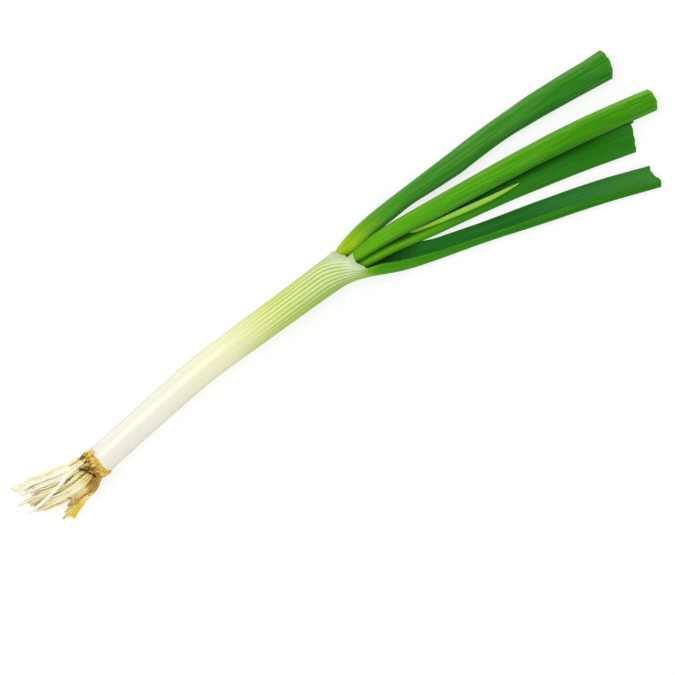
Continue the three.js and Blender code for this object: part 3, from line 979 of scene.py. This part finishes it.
def roots(finish, stout_finish):
    """Every root as a piece of its own: uneven, thinner at its tip, and paler or dirtier by its tone."""
    names = root_names()
    crossing, stout = names[-2:]
    for seed, name in enumerate(names):
        draw = np.random.default_rng(100 + seed)
        path, radius = root_path(name)
        t = np.linspace(0, 1, len(path))
        own = name in (crossing, stout)
        loose = (0.0002 if own else 0.00045) * smoothstep(0.05, 0.5, t)
        path[:, 1] += loose * waver(seed, t * 7)
        path[:, 2] += loose * 0.6 * waver(seed + 500, t * 6)
        thick = (1.0 if own else draw.uniform(0.85, 1.3)) * (1 + 0.12 * waver(seed + 900, t * 16, 6))
        if name != stout:
            thick = thick * (1.15 - 0.3 * smoothstep(0.9, 1.0, t))
        radius = radius * thick
        if name == stout:
            radius = radius * (1 + 0.25 * t)
            path[:, 2] += 0.0042 * smoothstep(0.05, 0.45, t) - 0.002 * smoothstep(0.7, 1, t)
        else:
            thinnest = 0.00062 if own else draw.uniform(0.00045, 0.0007)
            radius = np.maximum(radius, thinnest * smoothstep(0, 0.5, t))
            path[:, 2] -= lowered_by_stout_root(path)
        path[:, 2] = np.maximum(path[:, 2], radius + LEAST_GAP)
        tone = 0.04 + 0.46 * towards_lower_side(path) + draw.uniform(-0.1, 0.34)
        if name == crossing:
            tone = 0.02
        if name == stout:
            tone = 0.5
        skin = Skin()
        strand(skin, path, radius, tone, sides=12, flat=0.85)
        skin.piece(name + "_skin", stout_finish if name == stout else finish, [name])


def rootlets(finish):
    """The finer roots between the roots, and torn root hairs among them."""
    draw = np.random.default_rng(77)
    names = root_names()[:-2]
    paths = [root_path(name, 28)[0] for name in names]
    tips = np.array([path[-1] for path in paths])
    skin = Skin()
    for k in range(ROOTLETS):
        one = int(draw.integers(len(names)))
        near = np.argsort(np.linalg.norm(tips - tips[one], axis=1))[1:5]
        other = int(near[int(draw.integers(len(near)))])
        share = draw.uniform(0.15, 0.85)
        line = paths[one] * share + paths[other] * (1 - share)
        last = int(draw.integers(20, 29))
        line = line[:last].copy()
        t = np.linspace(0, 1, len(line))
        line[:, 1] += (draw.normal(0, 0.0005) + 0.0004 * waver(k, t * 7)) * t
        line[:, 2] += draw.uniform(-0.0006, 0.0006) + draw.normal(0, 0.0004) * t
        line[:, 2] -= lowered_by_stout_root(line)
        radius = draw.uniform(0.00028, 0.00064) * (1 - 0.2 * t) * (1 + 0.15 * waver(k + 300, t * 12))
        line[:, 2] = np.clip(line[:, 2], radius + LEAST_GAP, cad_box[1][2] - 0.0004)
        line[:, 0] = np.maximum(line[:, 0], cad_box[0][0] + 0.0002)
        tone = draw.uniform(-0.1, 0.42) + 0.44 * towards_lower_side(line)
        strand(skin, line, radius, tone, sides=5, flat=1)
    return skin.piece("rootlets", finish)


def dry_skin(finish):
    """Torn strips of dried skin that run from the shank's foot over the basal plate to the roots."""
    low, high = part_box("basal_plate")
    draw = np.random.default_rng(41)
    centre_y = (low[1] + high[1]) / 2 + 0.0004
    foot = high[0] - PLATE_LEAN * PLATE_RADIUS
    skin = Skin()
    for k in range(DRY_STRIPS):
        angle = draw.uniform(0, 2 * math.pi)
        start = draw.uniform(-0.0012, 0.0045)
        reach = draw.uniform(0.002, 0.0066)
        t = np.linspace(0, 1, 14)
        behind = start + reach * t
        turn = angle + draw.normal(0, 0.09) * t + 0.03 * waver(k, t * 6)
        radius = PLATE_RADIUS * (1.04 - 0.28 * smoothstep(0.002, 0.0105, behind))
        radius = radius + draw.uniform(-0.0001, 0.0003) + 0.0002 * waver(k + 40, t * 5)
        x = foot - behind - PLATE_LEAN * radius * np.cos(turn)
        y = centre_y + radius * np.cos(turn)
        z = SHANK_AXIS_Z + radius * 0.96 * np.sin(turn)
        width = draw.uniform(0.0002, 0.0005) * (1 - 0.7 * np.abs(2 * t - 1) ** 3)
        line = np.column_stack([x, y, np.clip(z, width + LEAST_GAP, cad_box[1][2] + 0.0002)])
        strand(skin, line, width, 0, sides=6, flat=0.7)
    return skin.piece("dry_skin", finish)


# ---------------------------------------------------------------- the spring onion

# The leaves' colours along x in millimetres, and what leaf_finish says of the others.
UPPER_LEAF = dict(
    along=[
        (10, (190, 208, 20)), (18, (168, 200, 4)), (28, (118, 178, 4)), (40, (70, 152, 8)),
        (60, (50, 136, 20)), (100, (44, 130, 20)), (165, (40, 128, 14)),
    ],
    sheen_and_pale_green=(112, 176, 84), deep=(22, 96, 30), cut=(90, 160, 10), light=0.45, dark=0.75,
)
CENTRE_LEAF = dict(
    along=[
        (8, (140, 190, 20)), (18, (98, 176, 0)), (60, (72, 162, 0)), (110, (60, 150, 0)),
        (174, (50, 138, 0)),
    ],
    sheen_and_pale_green=(126, 194, 60), deep=(46, 124, 26), cut=(110, 180, 10), light=0.75, dark=0.75, edge=0.6,
)
BACK_LEAF = dict(
    along=[
        (8, (140, 190, 20)), (20, (118, 196, 0)), (50, (106, 188, 0)), (80, (50, 134, 4)),
        (110, (28, 106, 14)), (159, (32, 112, 16)),
    ],
    sheen_and_pale_green=(70, 146, 60), deep=(46, 132, 22), cut=(60, 140, 20), light=0.2, dark=0.5, neighbour_shadow=0.86,
)
YOUNG_LEAF = dict(
    along=[
        (8, (160, 205, 40)), (30, (150, 218, 0)), (80, (152, 220, 6)), (96, (160, 210, 40)),
        (100, (232, 222, 96)),
    ],
    sheen_and_pale_green=(186, 226, 150), deep=(104, 178, 0), cut=(230, 220, 110), light=1.0, dark=0.8,
)

outer_leaf(sheath_finish())
upper_skin = leaf_finish("upper_leaf_skin", **UPPER_LEAF)
leaf("upper_leaf", upper_skin, upper_leaf_cut, 1, upper_leaf_spread)
centre_skin = leaf_finish("centre_leaf_skin", **CENTRE_LEAF)
leaf("centre_leaf", centre_skin, centre_leaf_cut, 2)
back_skin = leaf_finish("back_leaf_skin", **BACK_LEAF)
leaf("back_leaf", back_skin, back_leaf_cut, 3, back_leaf_spread)
young_leaf(leaf_finish("young_leaf_skin", veins=14, **YOUNG_LEAF))
plate_skin = plate_finish()
basal_plate(plate_skin)
root_skin = root_finish()
roots(root_skin, root_finish("stout_root_skin", tip=(226, 200, 44)))
rootlets(root_skin)
dry_skin(plate_skin)


# ---------------------------------------------------------------- floor, light and camera


def floor():
    """A wide pale floor, faintly lit from within, at the height of the onion's underside."""
    made = Finish(
        "pale_floor",
        Roughness=0.75,
        IOR=1.3,
        Emission_Color=(1, 1, 1, 1),
        Emission_Strength=0.72,
    )
    x, y, _ = made.place()
    cloud = made.speckle(x * 0.006, y * 0.006)
    colour = made.mix(cloud * 0.1, srgb(152, 152, 152), srgb(146, 146, 146))
    size = 2.5
    corners = [(-size, -size, 0), (size, -size, 0), (size, size, 0), (-size, size, 0)]
    mesh = bpy.data.meshes.new("floor")
    mesh.from_pydata(corners, [], [(0, 1, 2, 3)])
    mesh.materials.append(made.done(Base_Color=colour))
    made_floor = bpy.data.objects.new("floor", mesh)
    bpy.context.scene.collection.objects.link(made_floor)


def softbox(name, place, aim, width, height, power):
    """A white lamp of this width and height, aimed at a point."""
    lamp = bpy.data.lights.new(name, "AREA")
    lamp.shape = "RECTANGLE"
    lamp.size, lamp.size_y = width, height
    lamp.energy = power
    holder = bpy.data.objects.new(name, lamp)
    bpy.context.scene.collection.objects.link(holder)
    holder.location = place
    holder.rotation_euler = (Vector(aim) - Vector(place)).to_track_quat("-Z", "Y").to_euler()


def sky(strength):
    """Even white light from all round."""
    world = bpy.data.worlds.new("white_room")
    world.use_nodes = True
    background = world.node_tree.nodes["Background"]
    background.inputs["Color"].default_value = (1, 1, 1, 1)
    background.inputs["Strength"].default_value = strength
    bpy.context.scene.world = world


def camera():
    """Straight down, turned so that the onion lies from the lower left to the upper right."""
    lens, sensor = 100, 36
    width_in_view = 0.8966 * LENGTH
    height = width_in_view * lens / sensor
    data = bpy.data.cameras.new("camera")
    data.lens, data.sensor_width = lens, sensor
    data.clip_start, data.clip_end = 0.01, 20
    made = bpy.data.objects.new("camera", data)
    bpy.context.scene.collection.objects.link(made)
    made.location = (-0.024 * LENGTH, -0.0494 * LENGTH, SHANK_AXIS_Z + height)
    made.rotation_euler = (0, 0, -math.radians(31))
    bpy.context.scene.camera = made


floor()
softbox("key", (-0.15, 0.27, 0.60), (-0.09, -0.01, 0), 0.34, 0.47, 1.15)
softbox("fill", (0.5, 0.3, 0.8), (0.1, 0, 0), 1.0, 1.0, 0.5)
sky(0.76)
camera()
bpy.context.scene.view_settings.view_transform = "Standard"
